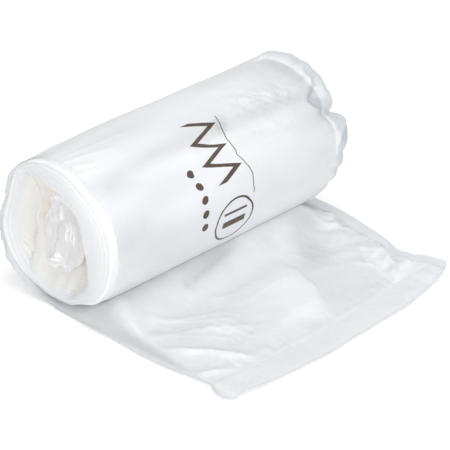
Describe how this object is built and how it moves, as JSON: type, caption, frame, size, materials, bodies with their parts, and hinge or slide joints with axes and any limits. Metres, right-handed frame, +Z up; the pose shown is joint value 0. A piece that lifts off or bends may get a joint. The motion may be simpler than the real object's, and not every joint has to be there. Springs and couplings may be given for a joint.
{
  "type": "bin bag roll",
  "caption": "Coreless roll of thin translucent plastic bin bags lying on its side, its loose welded end drawn out flat from underneath.",
  "frame": {"origin": "on the floor under the roll's axis, at the middle of the roll's length, in the flat spot it rests on", "axes": "+X along the roll's axis from the dished end to the loose-lobed end, +Z up, and the loose end runs out towards -Y"},
  "size_m": [0.121, 0.1103, 0.0552],
  "materials": {
    "film": "translucent milky film, soft sheen"
  },
  "bodies": {
    "root": {"bag_web": "film"}
  },
  "joints": []
}
